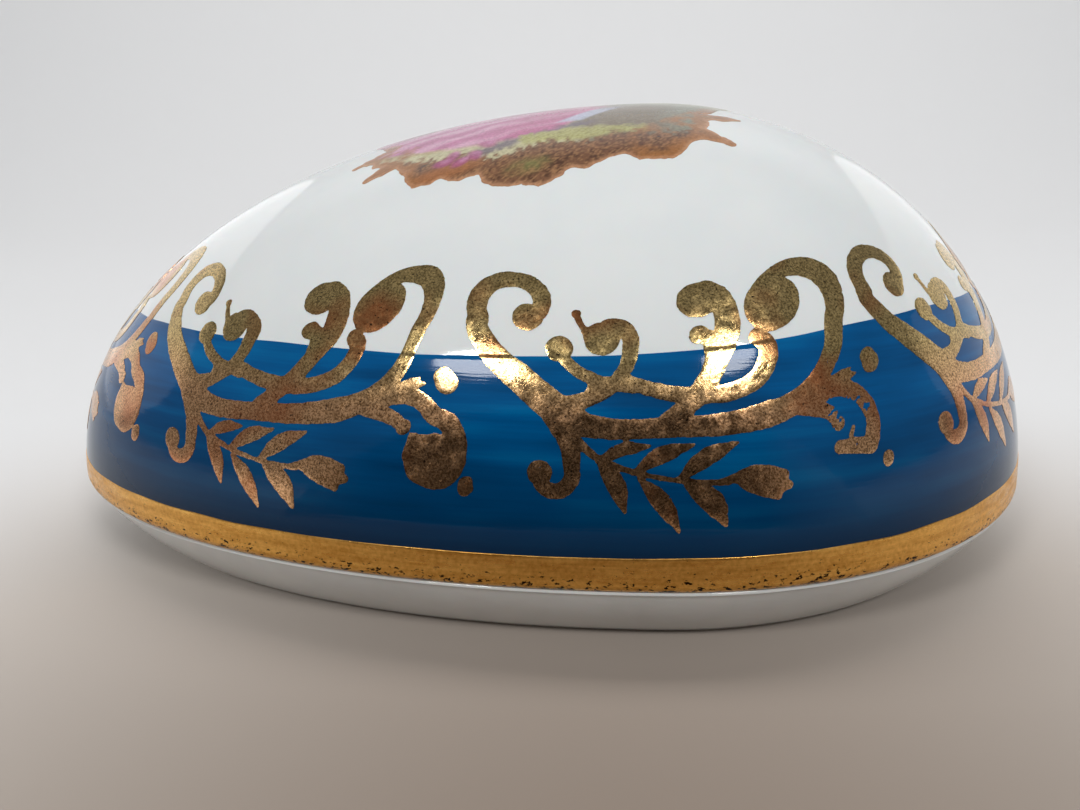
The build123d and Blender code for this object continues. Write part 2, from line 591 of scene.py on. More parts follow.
@dataclass(frozen=True)
class Scroll:
    """One length of the border: acanthus scrolls over a leafy sprig, in mm from its own foot point."""

    grid_step: float = 0.14
    low: tuple[float, float] = (-13.5, 3.6)
    high: tuple[float, float] = (26.0, 27.2)
    waist: float = 12.0

    def scrollwork(self) -> list[Stroke]:
        """The scrolls, from the tall one on the left to the arch on the right."""
        return [
            # the tall curl on the left, and the small one that drops from its foot
            Stroke(((-2.6, 13.6), (-5.3, 15.9), (-7.5, 17.9), (-8.7, 19.9)),
                   (2.3, 2.2, 1.9, 1.55, 1.35, 1.3, 1.25),
                   Curl((-6.1, 21.6), (2.65, 1.15), 195, -230, 4), 1.1, (-5.1, 21.0)),
            Stroke(((-2.9, 13.4), (-2.1, 11.8), (-1.75, 10.5)), (1.9, 1.45, 1.25, 1.2, 1.1),
                   Curl((-3.1, 9.2), (1.45, 1.0), 10, -190), 0.95),
            # the long main stem, up into the arch and its volute
            Stroke(((-2.6, 13.5), (-0.75, 12.8), (1.6, 12.5), (4.3, 12.6), (7, 12.7), (9.7, 12.9),
                    (12.5, 13.4), (14.4, 14.1), (16, 15.3), (17, 16.7), (17.6, 18.2)),
                   (2.2, 1.6, 1.45, 1.5, 1.7, 2.0, 1.6, 1.5, 1.7, 1.9, 1.7, 1.25, 1.4),
                   Curl((13.9, 21.2), (3.9, 2.8), -15, 195, 3), 2.25, (12.35, 21.95)),
            # the bud, its stem, and the middle curl with its tendril
            Stroke(((-0.4, 15.3), (-0.2, 16.1), (-1.3, 16.7), (-2.3, 17.6), (-2.8, 18.5)),
                   (0.7, 0.9, 0.9, 0.9), bead=1.0),
            Stroke(((2.6, 15.4), (0.9, 15.9), (-0.3, 16.1)), (0.6, 0.85, 0.9)),
            Stroke(((-2.6, 14.2), (-0.85, 14.6), (0.4, 15.2), (1.3, 15.9), (2.1, 17.2)),
                   (1.3, 1.1, 1.1, 1.2, 1.3), Curl((0.6, 19), (1.75, 0.5), -10, 150), 1.3),
            Stroke(((0.2, 19.0), (-0.6, 19.3), (-1.25, 20.3), (-1.7, 21.3)), (0.7, 0.5, 0.45, 0.4),
                   bead=0.33),
            # the inner stem, and the comma that crosses it
            Stroke(((2.15, 16.1), (3.45, 15.6), (5.1, 15.2), (6.9, 15), (8.35, 15), (10, 15.3),
                    (11.5, 16.1), (12.2, 17.4), (12.1, 18.6), (11.3, 19.3)),
                   (1.0, 1.1, 1.2, 1.25, 1.35, 1.5, 1.55, 1.3)),
            Stroke(((5.2, 13.2), (6.6, 14.2), (7.8, 15.8), (8.5, 17.6), (9.05, 19.7), (8.85, 21.3),
                    (8.2, 22.6), (7.3, 23.2)),
                   (1.2, 1.45, 1.6, 1.6, 1.8, 1.85, 1.7, 1.6), bead=1.45, bead_at=(6.8, 22.4)),
            Stroke(((8.3, 18.2), (7.9, 19.2), (7.1, 19.6)), (1.4, 1.3, 1.2), bead=0.74),
            leaf((17.2, 15.4), (19.7, 15.9), 0.95, 0.1),
            leaf((17.6, 15.2), (19.3, 16.4), 0.6, 0.1),
        ]  # fmt: skip

    def sprig(self) -> list[Stroke]:
        """The sprig of leaves under the scrolls, with its three-lobed tip."""
        stem = ((-1.9, 12.2), (0.1, 10.4), (1.6, 9.8), (3.2, 9.3), (5.4, 8.9), (7.2, 8.7), (9.9, 8.6))
        leaves = (
            ((0.3, 10.3), (4.0, 11.3), 1.05, 0.25), ((2.9, 9.4), (7.2, 11.4), 1.3, 0.3),
            ((6.2, 8.9), (10.4, 11.5), 1.4, 0.3), ((0.3, 10.1), (2.3, 6.4), 1.45, 0.35),
            ((3.3, 8.9), (6.4, 5.0), 1.45, 0.3), ((6.8, 8.4), (9.9, 5.4), 1.75, 0.5),
        )  # fmt: skip
        tip = [
            Stroke(((9.3, 8.65), (10.6, 8.9), (12.2, 8.7), (13.3, 8.4)), (0.35, 0.6, 1.2, 2.0, 2.3, 2.2)),
            Stroke(((13.2, 8.9), (14.1, 8.95)), (1.2, 0.7)),
            Stroke(((13.4, 8.3), (14.5, 8.15)), (1.2, 0.65)),
            Stroke(((13.0, 7.9), (13.7, 7.4)), (1.1, 0.6)),
        ]
        return [Stroke(stem, (0.7, 0.45, 0.35, 0.4))] + [leaf(*one) for one in leaves] + tip

    def right_end(self, end: MotifEnd) -> list[Stroke]:
        """The arch at the right-hand end, and the dots beside it."""
        arch = ((15.0, 14.2), (17.4, 15), (19.4, 14.6), (20.7, 13.6), (21.4, 12.2))
        if end is MotifEnd.CUT:
            return [
                Stroke(arch + ((21.4, 10.9),), (1.9, 1.8, 1.35, 1.2, 1.25, 1.4)),
                Stroke(((15.4, 13.7), (17.4, 13.2), (18.3, 12.3)), (1.2, 1.1, 0.9), bead=0.55),
                Stroke(((18.6, 10.55), (20.2, 10.5), (21.3, 10.35)), (1.05, 1.2, 1.3)),
                Stroke(((19.4, 11.0), (19.6, 11.9)), (0.4, 0.3)),
                Stroke(((20.8, 17.1), (21.1, 16.6)), (1.4, 1.6)),
                Stroke(((23.0, 9.3), (23.05, 9.1)), (1.0, 1.05)),
            ]
        return [
            Stroke(arch[:-1] + ((22.2, 12.9), (23.1, 11.6), (23.4, 10.2)),
                   (1.9, 1.8, 1.35, 1.25, 1.35, 1.5, 1.6)),
            Stroke(((22.2, 9.9), (21.7, 10.0), (20.5, 10.6), (19.3, 12.1)), (3.9, 4.0, 2.9, 1.4, 0.2)),
            Stroke(((15.4, 13.7), (17.4, 13.2), (18.6, 12.5)), (1.2, 1.1, 0.9), bead=0.6),
            Stroke(((21.0, 16.5), (21.4, 16.0)), (1.5, 1.7)),
            Stroke(((24.5, 8.5), (24.55, 8.2)), (1.2, 1.25)),
        ]  # fmt: skip

    def grid(self) -> tuple[Array, Array]:
        """The drawing grid, in mm."""
        x = np.arange(self.low[0], self.high[0], self.grid_step)
        y = np.arange(self.low[1], self.high[1], self.grid_step)
        return np.meshgrid(x, y)

    @lru_cache(maxsize=4)
    def clean_field(self, end: MotifEnd) -> Array:
        """Signed distance to the whole motif's edge before the wear of printing and firing."""
        x, y = self.grid()
        strokes = self.scrollwork() + self.sprig() + self.right_end(end)
        return union([stroke.distance(x, y) for stroke in strokes])

    def worn_field(self, end: MotifEnd, seed: int) -> Array:
        """The motif's field with a ragged edge, and pin-holes where a cut end is worn.

        Args:
            end: how the right-hand end is finished.
            seed: the copy's own number, which moves its wear.

        Returns:
            Signed distance, negative on the gold.
        """
        x, y = self.grid()
        field = self.clean_field(end) + 0.035 * soft_noise(x, y, 0.45, seed)
        field = field + 0.03 * soft_noise(x, y, 0.2, seed + 50)
        if end is MotifEnd.CUT:
            worn = np.clip(1 - np.hypot((x - 19.0) / 3.2, (y - 12.6) / 3.0), 0, 1)
            pits = soft_noise(x, y, 0.26, seed + 90) - 0.95 + 0.75 * worn
            field = np.maximum(field, pits * 0.5)
        return field

    def gathered(self, x: Array, y: Array, amount: float) -> Array:
        """The drawing's x after its top was drawn in, as a soft transfer is while it is slid into place."""
        reach = np.interp(x, (2.0, 5.0, 10.0, 15.3, 18.8, 24.0), (0.0, 0.9, 0.95, 0.1, -1.0, -1.05))
        return x + amount * reach * np.interp(y, (14.3, 18.5, 23.5), (0.0, 1.0, 1.12))

    def build(self, name: str, placing: Placing, seed: int) -> bpy.types.Object:
        """Lays the motif on the lid as a thin film, swelled in its middle and stepping over the blue edge.

        Drawing point (x, y) goes to y + rise up the meridian and x / cos(phi) round the rim from foot, less
        the meridian's drift from the waist up, so that the drawing stands square on the rim.

        Args:
            name: the piece's name.
            placing: where it sits and how it was laid.
            seed: the copy's own number.

        Returns:
            The object.
        """
        film = contour_fill(*self.grid(), self.worn_field(placing.end, seed))
        y = film.xy[:, 1] + placing.rise
        phi = y / EGG.half_width
        x = self.gathered(*film.xy.T, placing.gather) + placing.lean * (film.xy[:, 1] - self.waist)
        s = placing.foot + x / np.cos(phi)
        drift = EGG.meridian_drift(s, phi) - EGG.meridian_drift(s, self.waist / EGG.half_width)
        s = s - drift / np.cos(phi)
        ground = LID.ground_lift(s, y)
        bulge = 1 - (1 - np.clip(film.depth / 0.3, 0, 1)) ** 2
        grain = 0.0015 * soft_noise(film.xy[:, 0], film.xy[:, 1], 0.3, seed + 7)
        top = LID.at(s, y, ground + 0.03 + 0.012 * bulge + grain)
        return film_object(name, film, top, LID.at(s, y, ground - 0.04))


# ---------------------------------------------------------------- the picture on top


def hex_rgb(colour: str) -> Array:
    """An sRGB hex colour as linear red, green and blue."""
    c = np.array([int(colour[i : i + 2], 16) for i in (1, 3, 5)]) / 255
    return np.where(c <= 0.04045, c / 12.92, ((c + 0.055) / 1.055) ** 2.4)


@dataclass
class Canvas:
    """A painter's surface: plan points in mm and the linear colour laid on each so far."""

    x: Array
    y: Array
    colour: Array = field(init=False)

    def __post_init__(self) -> None:
        """Starts with the pale olive wash."""
        self.colour = np.tile(hex_rgb("#c9c19a"), (len(self.x), 1))

    def lay(self, mask: Array, colour: str, strength: float = 1.0) -> None:
        """Lays a colour where the mask says, as thin as strength."""
        a = (np.clip(mask, 0, 1) * strength)[:, None]
        self.colour = self.colour * (1 - a) + hex_rgb(colour) * a

    def region(self, field_value: Array, edge: float) -> Array:
        """1 where a signed field is negative, fading over edge mm."""
        return np.clip(0.5 - field_value / edge, 0, 1)

    def ellipse(self, cx: float, cy: float, rx: float, ry: float, angle: float, edge: float = 0.5) -> Array:
        """Mask of a turned ellipse."""
        c, s = np.cos(np.radians(angle)), np.sin(np.radians(angle))
        u = ((self.x - cx) * c + (self.y - cy) * s) / rx
        v = (-(self.x - cx) * s + (self.y - cy) * c) / ry
        return self.region((np.hypot(u, v) - 1) * min(rx, ry), edge)

    def dabs(self, centres: Array, size: tuple[float, float], angles: Array, colour: str,
             strength: float) -> None:
        """Lays many small leaf-shaped dabs of one colour.

        Args:
            centres: plan points.
            size: half length and half width of a dab.
            angles: each dab's direction in degrees.
            colour: the dab's colour.
            strength: how thick the paint is.
        """
        for (cx, cy), angle in zip(centres, angles):
            self.lay(self.ellipse(cx, cy, size[0], size[1], angle, 0.35), colour, strength)

    def rose(self, cx: float, cy: float, r: float, tones: tuple[str, str, str]) -> None:
        """A rose: rings of overlapping round petals laid from the outside in, each with a light lip.

        Args:
            cx: centre in X.
            cy: centre in Y.
            r: radius of the bloom.
            tones: shadow, body and light of the petals.
        """
        rings = ((7, 0.66, 0.46), (6, 0.46, 0.40), (5, 0.28, 0.32), (3, 0.12, 0.22))
        for ring, (count, away, size) in enumerate(rings):
            for k in range(count):
                angle = 2 * np.pi * (k + 0.37 * ring) / count + cx
                px, py = cx + away * r * np.cos(angle), cy + away * r * np.sin(angle)
                ripple = 0.06 * np.sin(4 * angle + self.x + self.y)
                reach = np.hypot(self.x - px, self.y - py) / (size * r) + ripple
                petal = self.region((reach - 1) * size * r, 0.3)
                outward = ((self.x - cx) * np.cos(angle) + (self.y - cy) * np.sin(angle)) / r - away
                self.lay(petal, tones[1], 0.95)
                self.lay(petal * np.clip(-outward / size + 0.1, 0, 1), tones[0], 0.8)
                lip = petal * np.clip(reach - 0.62, 0, 1) * np.clip(outward / size + 0.4, 0, 1)
                self.lay(lip * 4, tones[2], 0.9)
        self.lay(self.ellipse(cx, cy, 0.1 * r, 0.08 * r, 20, 0.3), tones[0], 0.8)


@dataclass(frozen=True)
class PaintedPicture:
    """The flower picture on the crown: an irregular round 42 mm across with a scalloped front edge."""

    centre: tuple[float, float] = (1.8, 0.4)
    radius: float = 20.6
    grid_step: float = 0.2
    lift: float = 0.03

    def edge_field(self, x: Array, y: Array) -> Array:
        """Signed distance to the picture's edge: a round, front scallops, and tufts at both sides."""
        cx, cy = self.centre
        angle = np.arctan2(y - cy, x - cx)
        lobes = 0.55 * np.sin(7 * angle + 0.6) + 0.35 * np.sin(12 * angle + 2.1)
        back = np.clip((y - cy) / 6 + 0.9, 0, 1)
        round_part = np.hypot(x - cx, y - cy) - (self.radius - 1.6 + lobes * back - 1.3 * (1 - back))
        scallops = (
            (-12.2, -11.0, 2.3), (-9.9, -13.1, 2.2), (-8.2, -15.4, 2.6), (-5.2, -15.5, 2.9),
            (-0.7, -17.3, 3.3), (1.4, -17.8, 3.0), (4.9, -16.7, 2.7), (7.6, -15.8, 2.4),
            (11.2, -15.9, 3.1), (13.2, -14.4, 2.5), (14.4, -12.2, 2.0),
        )  # fmt: skip
        discs = [np.hypot(x - a, y - b) - r for a, b, r in scallops]
        tufts = (
            ((-11.5, -9.2), (-14.2, -10.2), (-16.3, -10.8)),
            ((-9.5, -11.5), (-12.2, -13.1), (-14.3, -14.5)),
            ((-7.6, -14.6), (-8.8, -16.4), (-9.6, -17.8)),
            ((12.6, -13.2), (15.6, -14.6), (17.9, -15.9)),
            ((13.0, -9.6), (16.6, -10.2), (19.6, -9.6)),
        )  # fmt: skip
        blades = [Stroke(t, (4.6, 3.2, 2.2, 1.5, 0.6)).distance(x, y) for t in tufts]
        field_value = union([round_part] + discs + blades, 0.5)
        return field_value + 0.22 * soft_noise(x, y, 0.9, 31) + 0.12 * soft_noise(x, y, 0.35, 32)

    def paint(self, x: Array, y: Array, depth: Array) -> Array:
        """Lays the picture's colours, from the far wash to the front bank.

        Args:
            x: plan X.
            y: plan Y.
            depth: distance inside the picture's edge.

        Returns:
            Linear red, green and blue for each point.
        """
        c = Canvas(x, y)
        rng = np.random.default_rng(5)
        grain = soft_noise(x, y, 0.42, 41)
        fine = soft_noise(x, y, 0.2, 42)
        c.lay(c.region(-(y - 1.5) + 2.0 * soft_noise(x, y, 6.0, 43), 5.0), "#b9c3d9", 0.85)  # far, pale sky
        c.lay(c.region(-(y - 11) + 2.0 * soft_noise(x, y, 4.0, 44), 3.0), "#a9b684", 0.7)  # far leaves
        spots = rng.uniform(-20, 22, (150, 2))
        spots = spots[(spots[:, 1] > 5) | (spots[:, 0] > 8)]
        c.dabs(spots[::2], (1.5, 0.55), rng.uniform(0, 180, len(spots[::2])), "#6f7f4a", 0.7)
        c.dabs(spots[1::2], (1.3, 0.5), rng.uniform(0, 180, len(spots[1::2])), "#93a25c", 0.7)
        bank = c.region(-(x - 4.2 + 0.45 * (y + 12)) + 1.2 * soft_noise(x, y, 2.2, 45), 2.0)
        near = c.region(y + 3.5 + 0.35 * (x - 12), 5.0)
        c.lay(bank * near, "#857663", 0.95)  # taupe bank, right
        c.lay(bank * near * np.clip(0.5 + grain, 0, 1), "#6e5f4b", 0.6)
        c.lay(bank * near * c.region(-(x - 13.5) + grain, 4.0), "#8fa08c", 0.55)
        # one broad pink petal mass on the left, its veins running along the sweep up to the heart
        sweep = c.region(np.maximum(-13.4 + 0.02 * (x + 2) ** 2 - y, x - 5.0 - 0.55 * (y + 9)), 0.9)
        sweep = np.minimum(sweep, c.region(y - 5.5 - 0.3 * x, 2.5))
        vein = np.sin(2.1 * (y - 0.33 * x) + 1.6 * soft_noise(x, y, 3.0, 46))
        c.lay(sweep, "#cf86ab", 1.0)
        c.lay(sweep * np.clip(vein, 0, 1), "#e3b3cb", 0.75)
        c.lay(sweep * np.clip(-vein - 0.25, 0, 1), "#b35f8d", 0.8)
        c.lay(sweep * c.region(-(x + 2.0) + 0.4 * (y + 10), 4.0), "#c2618f", 0.55)
        c.rose(-6.0, 2.5, 6.6, ("#a8447a", "#d488ae", "#efc6d8"))
        c.rose(4.6, 5.2, 5.6, ("#b0565f", "#dd9aa0", "#f3d2cf"))
        c.rose(-1.2, 11.2, 4.6, ("#8e5f9c", "#b994c6", "#ddcbe6"))
        c.rose(12.2, 1.2, 3.9, ("#b4823c", "#e2bd72", "#f4e2b0"))
        leaves = np.array([[0.2, -0.8], [9.4, -2.2], [10.4, 8.8], [-11.4, 8.4], [4.8, 13.4], [-12.6, -2.4]])
        turned = np.array([-30, 20, 35, 125, 80, 170])
        c.dabs(leaves, (3.4, 1.15), turned, "#5f7442", 0.9)
        c.dabs(leaves, (3.0, 0.16), turned, "#a6b673", 0.9)  # their midribs
        wedge = c.region(np.maximum(np.abs((x - 5.1) - 0.85 * (y + 9.2)) - 1.1, -(y + 10.6)), 0.6)
        c.lay(wedge * c.region(y + 6.0, 2.5), "#c6cbe2", 0.9)  # pale lilac gap beside the pink
        # the front: shadow line, yellow-green bank, brown granular ground, magenta blossoms
        front = y + 15.6 - 0.1 * x - 0.4 * np.sin(0.9 * x) - 0.5 * np.maximum(-x - 4, 0)
        shade = np.abs(y + 14.1 - 0.37 * (x + 1.3)) - 0.75
        c.lay(c.region(shade + 0.4 * grain, 0.8) * c.region(np.abs(x - 0.5) - 5.5, 2.0), "#6d5e6e", 0.85)
        green = np.maximum(np.abs(y + 13.9 - 0.02 * x) - 1.5 + 0.14 * np.abs(x - 4), np.abs(x - 5.0) - 5.6)
        c.lay(c.region(green + 0.5 * grain, 0.7), "#bcb872", 0.95)
        c.lay(c.region(green + 0.5 * grain, 0.7) * np.clip(fine * 1.4, 0, 1), "#8f8a48", 0.7)
        left_green = np.abs(y + 13.6 - 0.02 * (x + 2) ** 2) - 0.35
        c.lay(c.region(left_green + 0.3 * grain, 0.5) * c.region(x + 7.5, 2.0), "#b9ad6c", 0.6)
        ground = c.region(front + 0.9 * grain + 0.3 * fine, 0.7)
        c.lay(ground, "#80553a", 0.97)
        c.lay(ground * np.clip(grain * 1.4 + 0.3, 0, 1), "#4f3223", 0.85)
        c.lay(ground * np.clip(fine * 1.5 - 0.1, 0, 1), "#b98a5e", 0.6)
        c.lay(ground * c.ellipse(0.4, -18.2, 1.7, 1.0, 10, 1.0) * (0.6 + 0.4 * grain), "#8c8a52", 0.8)
        c.lay(ground * c.ellipse(-7.0, -17.0, 3.4, 1.0, 8, 0.8), "#b0703f", 0.8)
        tuft = c.region(depth - 1.3 + 0.4 * grain, 0.9) * c.region(y + 6.5, 2.0)
        c.lay(tuft * c.region(np.abs(x) * -1 + 9.5, 1.5), "#a9713f", 0.9)
        blossoms = np.array([[-7.2, -15.5], [-5.6, -15.9], [-6.4, -14.6], [-4.4, -15.2], [-3.4, -13.6]])
        c.dabs(blossoms, (0.9, 0.6), np.arange(5) * 37.0, "#b25088", 0.75)
        c.dabs(blossoms + 0.25, (0.4, 0.3), np.arange(5) * 50.0, "#d48fb6", 0.6)
        c.lay(c.region(depth - 0.3, 0.35) * c.region(y + 9, 3.0), "#cf9a72", 0.75)  # thin orange outline
        fade = c.region(depth - 0.7, 0.9) * c.region(-(y + 6), 4.0)
        c.lay(fade, "#d8d6c4", 0.5)
        return c.colour * (1 + 0.10 * grain + 0.07 * fine)[:, None]

    def build(self, name: str) -> bpy.types.Object:
        """Fills the picture's outline over the crown and stores its paint as a colour attribute.

        Args:
            name: the piece's name.

        Returns:
            The object.
        """
        x, y = np.meshgrid(np.arange(-22, 25, self.grid_step), np.arange(-23, 24, self.grid_step))
        film = contour_fill(x, y, self.edge_field(x, y))
        px, py = film.xy.T
        swell = 0.5 * self.lift * np.clip(film.depth / 0.4, 0, 1)
        top = np.column_stack([px, py, EGG.top_height(px, py, LID.inset - self.lift) + swell])
        bottom = np.column_stack([px, py, EGG.top_height(px, py, LID.inset + 0.05)])
        piece = film_object(name, film, top, bottom)
        paint = self.paint(px, py, film.depth)
        rgba = np.ones((2 * len(px), 4))
        rgba[:, :3] = np.concatenate([paint, paint]).clip(0, 1)
        layer = piece.data.color_attributes.new("paint", "FLOAT_COLOR", "POINT")
        layer.data.foreach_set("color", rgba.astype(np.float32).ravel())
        return piece


# ---------------------------------------------------------------- finishes


def linear(colour: str) -> tuple[float, float, float, float]:
    """An sRGB hex colour as a linear shader colour."""
    return (*(float(v) for v in hex_rgb(colour)), 1.0)


class Nodes:
    """A material's node tree, with one way to add a node."""

    def __init__(self, name: str) -> None:
        """Starts a material with a Principled surface."""
        self.material = bpy.data.materials.new(name)
        self.material.use_nodes = True
        self.tree = self.material.node_tree
        self.surface = self.tree.nodes["Principled BSDF"]

    def add(self, kind: str, settings: dict | None = None, **inputs: object) -> bpy.types.Node:
        """Adds a node with its settings, and sets or links its inputs.

        Args:
            kind: the node's type.
            settings: properties such as blend_type.
            inputs: socket by name, with underscores for spaces, or by place as _0, _1; a socket links.

        Returns:
            The node.
        """
        node = self.tree.nodes.new(kind)
        for key, value in (settings or {}).items():
            setattr(node, key, value)
        self.set(node, **inputs)
        return node

    def set(self, node: bpy.types.Node, **inputs: object) -> None:
        """Sets or links a node's inputs, named as in add."""
        for key, value in inputs.items():
            name = key.replace("_", " ").strip()
            target = node.inputs[int(name)] if name.isdigit() else node.inputs[name]
            if isinstance(value, bpy.types.NodeSocket):
                self.tree.links.new(value, target)
            else:
                target.default_value = value

    def ramp(self, factor: object, stops: tuple[tuple[float, str], ...]) -> bpy.types.NodeSocket:
        """A colour ramp through sRGB stops."""
        node = self.add("ShaderNodeValToRGB", _0=factor)
        band = node.color_ramp
        while len(band.elements) < len(stops):
            band.elements.new(0.5)
        for element, (place, colour) in zip(band.elements, stops):
            element.position, element.color = place, linear(colour)
        return node.outputs["Color"]

    def noise(self, size: tuple[float, float, float], detail: float = 3.0) -> bpy.types.NodeSocket:
        """Noise on Object coordinates whose features are about size mm along X, Y and Z."""
        place = self.add("ShaderNodeTexCoord").outputs["Object"]
        scale = tuple(1 / (MM * v) for v in size)
        scaled = self.add("ShaderNodeMapping", _0=place, _3=scale).outputs[0]
        return self.add("ShaderNodeTexNoise", _0=scaled, Scale=1.0, Detail=detail, Roughness=0.6).outputs[0]

    def blend(self, factor: object, a: object, b: object, kind: str = "MIX") -> bpy.types.NodeSocket:
        """Mixes two colours."""
        node = self.add("ShaderNodeMix", {"data_type": "RGBA", "blend_type": kind}, _0=factor, _6=a, _7=b)
        return node.outputs[2]

    def remap(self, value: object, low: float, high: float, to_low: float,
              to_high: float) -> bpy.types.NodeSocket:
        """Maps a range onto another, clamped."""
        return self.add("ShaderNodeMapRange", _0=value, _1=low, _2=high, _3=to_low, _4=to_high).outputs[0]


@dataclass(frozen=True)
class GlazedPorcelain:
    """Hard-paste porcelain, slip-cast and clear-glazed: cool white, a wet gloss with a faint ripple."""

    body: str = "#e2e5e4"
    shade: str = "#dee2e2"
    roughness: float = 0.06

    def material(self) -> bpy.types.Material:
        """The finish, with cloudy tone about 9 mm across and a ripple of the glaze about 3 mm across."""
        n = Nodes("glazed_white_porcelain")
        tone = n.ramp(n.noise((9, 9, 9)), ((0.35, self.shade), (0.65, self.body)))
        bump = n.add("ShaderNodeBump", Strength=0.06, Distance=0.0002, Height=n.noise((3, 3, 3), 1.0))
        n.set(n.surface, Base_Color=tone, Roughness=self.roughness, IOR=1.5, Normal=bump.outputs[0])
        n.set(n.surface, Subsurface_Weight=0.12, Subsurface_Scale=0.001)
        return n.material


@dataclass(frozen=True)
class BlueGround:
    """Overglaze cobalt-turquoise ground laid by brush and fired: glossy, with level brush streaks."""

    deep: str = "#003762"
    middle: str = "#005188"
    light: str = "#026fa6"
    # painted shade: the deep navy laid on the lower blue, where less light falls
    foot: str = "#00233f"

    def material(self) -> bpy.types.Material:
        """The finish: streaks 26 mm long and 1.3 mm high, and a painted shade that darkens it towards the
        gilt band.
        """
        n = Nodes("fired_blue_ground")
        streaks = n.noise((26, 26, 1.3), 4.0)
        patches = n.noise((16, 16, 6), 2.0)
        height = n.add("ShaderNodeSeparateXYZ", _0=n.add("ShaderNodeTexCoord").outputs["Object"]).outputs[2]
        mixed = n.blend(0.5, streaks, patches)
        tone = n.ramp(mixed, ((0.3, self.deep), (0.5, self.middle), (0.72, self.light)))
        # painted shade: the blue darkens from 20.5 mm down to 9.5 mm, towards the foot colour
        rise = n.remap(height, 0.0095, 0.0205, 0.0, 1.0)
        base = n.blend(rise, linear(self.foot), tone)
        bump = n.add("ShaderNodeBump", Strength=0.10, Distance=0.0002, Height=streaks)
        n.set(n.surface, Base_Color=base, Roughness=0.07, IOR=1.5, Specular_IOR_Level=0.18)
        n.set(n.surface, Normal=bump.outputs[0])
        return n.material


@dataclass(frozen=True)
class FiredGold:
    """Liquid bright gold, printed and fired: a granular mirror with worn pin-holes; on the white a painted
    shade makes it duller and greener.
    """

    name: str = "fired_gold_scrolls"
    bright: str = "#f8c290"
    dull: str = "#a0754c"
    # painted shade: duller, greener gold colours for the upper part, which mirrors the darker ceiling
    painted_shade_bright: str = "#e0c285"
    painted_shade_dull: str = "#8d7749"
    copper: str = "#b4633a"
    pit: str = "#1d1612"
    roughness: tuple[float, float] = (0.08, 0.30)
    pits: float = 0.62
    grain: float = 0.16
    metal: float = 0.95

    def material(self) -> bpy.types.Material:
        """The finish: grain 0.16 mm across, copper-tinted clouds 8 mm across and dark specks of 0.2 mm.

        The film is so thin that a little of its colour scatters, so it is not quite all metal.
        """
        n = Nodes(self.name)
        grain = n.noise((self.grain,) * 3, 3.0)
        clouds = n.noise((8, 8, 8), 2.0)
        bronze = n.ramp(grain, ((0.40, self.dull), (0.58, self.bright)))
        # painted shade: a shaded copy of the gold's grain colours
        olive = n.ramp(grain, ((0.38, self.painted_shade_dull), (0.60, self.painted_shade_bright)))
        height = n.add("ShaderNodeSeparateXYZ", _0=n.add("ShaderNodeTexCoord").outputs["Object"]).outputs[2]
        # painted shade: the gold turns to the shaded copy from 19.5 to 23.5 mm up, over the white
        tone = n.blend(n.remap(height, 0.0195, 0.0235, 0.0, 1.0), bronze, olive)
        tinted = n.blend(n.remap(clouds, 0.52, 0.68, 0.0, 0.72), tone, linear(self.copper))
        speck = n.remap(n.noise((0.21, 0.21, 0.21), 3.0), self.pits, self.pits + 0.06, 0.0, 1.0)
        colour = n.blend(speck, tinted, linear(self.pit))
        rough = n.remap(n.noise((1.1, 1.1, 1.1), 4.0), 0.35, 0.68, *self.roughness)
        bump = n.add("ShaderNodeBump", Strength=0.3, Distance=0.00002, Height=grain)
        n.set(n.surface, Base_Color=colour, Metallic=self.metal, Roughness=rough, Normal=bump.outputs[0])
        return n.material


@dataclass(frozen=True)
class GiltRim:
    """Brushed liquid gold round the rim: satin, streaked along the rim, pitted along its lower edge."""

    bright: str = "#f4bc64"
    dull: str = "#cb9040"
    pit: str = "#2a1c10"

    def material(self) -> bpy.types.Material:
        """The finish: streaks 7 mm long and 0.45 mm high, pits 0.5 mm across near the lower edge."""
        n = Nodes("satin_gilt_rim")
        streak = n.noise((7, 7, 0.45), 3.0)
        grain = n.noise((0.35, 0.35, 0.35), 3.0)
        tone = n.ramp(n.blend(0.45, streak, grain), ((0.36, self.dull), (0.62, self.bright)))
        height = n.add("ShaderNodeSeparateXYZ", _0=n.add("ShaderNodeTexCoord").outputs["Object"]).outputs[2]
        low = n.remap(height, 0.0069, 0.0090, 0.54, 0.71)
        worn = n.add("ShaderNodeMath", {"operation": "SUBTRACT"}, _0=n.noise((0.5, 0.5, 0.3), 3.0), _1=low)
        speck = n.remap(worn.outputs[0], 0.0, 0.04, 0.0, 1.0)
        colour = n.blend(speck, tone, linear(self.pit))
        rough = n.remap(n.noise((2.2, 2.2, 0.6), 4.0), 0.35, 0.68, 0.24, 0.46)
        bump = n.add("ShaderNodeBump", Strength=0.3, Distance=0.00004, Height=grain)
        n.set(n.surface, Base_Color=colour, Metallic=1.0, Roughness=rough, Normal=bump.outputs[0])
        return n.material


@dataclass(frozen=True)
class PaintedEnamel:
    """Overglaze china paint under a thin flux: the picture's own colours, softly glossy and granular."""

    roughness: float = 0.16

    def material(self) -> bpy.types.Material:
        """The finish: the painted colours, broken by grain about 0.25 mm across."""
        n = Nodes("painted_overglaze_enamel")
        paint = n.add("ShaderNodeVertexColor", {"layer_name": "paint"}).outputs["Color"]
        grain = n.ramp(n.noise((0.25, 0.25, 0.25), 3.0), ((0.3, "#d2d2d2"), (0.7, "#ffffff")))
        broken = n.blend(1.0, paint, grain, "MULTIPLY")
        n.set(n.surface, Base_Color=broken, Roughness=self.roughness, IOR=1.5)
        return n.material


